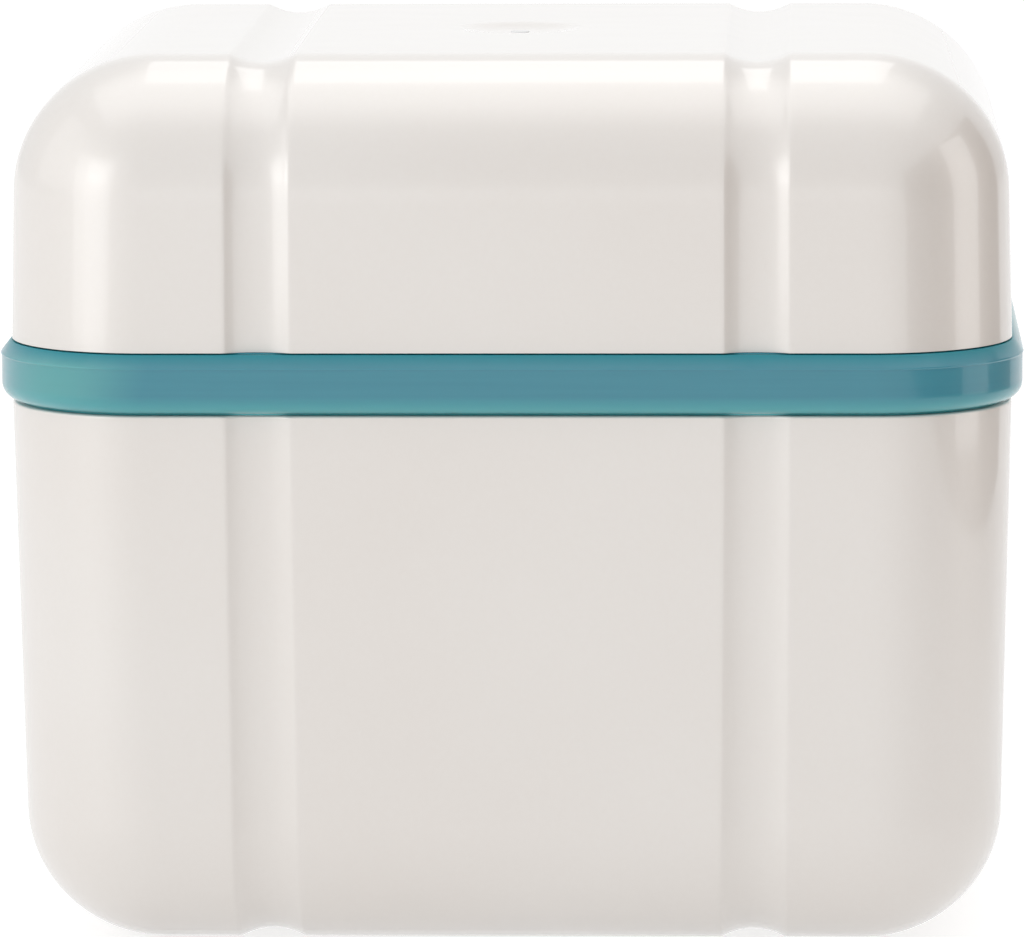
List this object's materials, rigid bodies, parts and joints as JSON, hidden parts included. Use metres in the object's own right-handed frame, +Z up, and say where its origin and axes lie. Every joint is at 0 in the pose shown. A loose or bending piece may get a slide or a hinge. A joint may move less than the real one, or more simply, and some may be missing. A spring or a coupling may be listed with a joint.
{
  "type": "denture case",
  "caption": "Rounded cube-like denture bath with a lift-off lid, soft seal band, drain basket and folding bail.",
  "frame": {"origin": "centre of the tub's underside, on the surface that the case stands on", "axes": "+Z up, -Y the front of the case, X along its width"},
  "size_m": [0.0922, 0.08, 0.0805],
  "materials": {
    "white_shell": "glossy moulded, faintly pearly",
    "teal_band": "smooth soft elastomer",
    "natural_basket": "natural moulded, faintly translucent",
    "teal_handle": "satin moulded"
  },
  "bodies": {
    "tub": {"base_tub": "white_shell"},
    "insert": {"strainer_basket": "natural_basket", "seal_band": "teal_band"},
    "handle": {"basket_handle": "teal_handle"},
    "lid": {"lid_shell": "white_shell"}
  },
  "joints": [
    {"name": "insert_lift", "type": "slide", "parent": "tub", "child": "insert", "axis": [0, 0, 1], "range_m": [0, 0.06]},
    {"name": "lid_lift", "type": "slide", "parent": "insert", "child": "lid", "axis": [0, 0, 1], "range_m": [0, 0.06]},
    {"name": "handle_swing", "type": "hinge", "parent": "insert", "child": "handle", "pos_m": [0, 0, 0.0474], "axis": [1, 0, 0], "range_deg": [0, 180]}
  ]
}
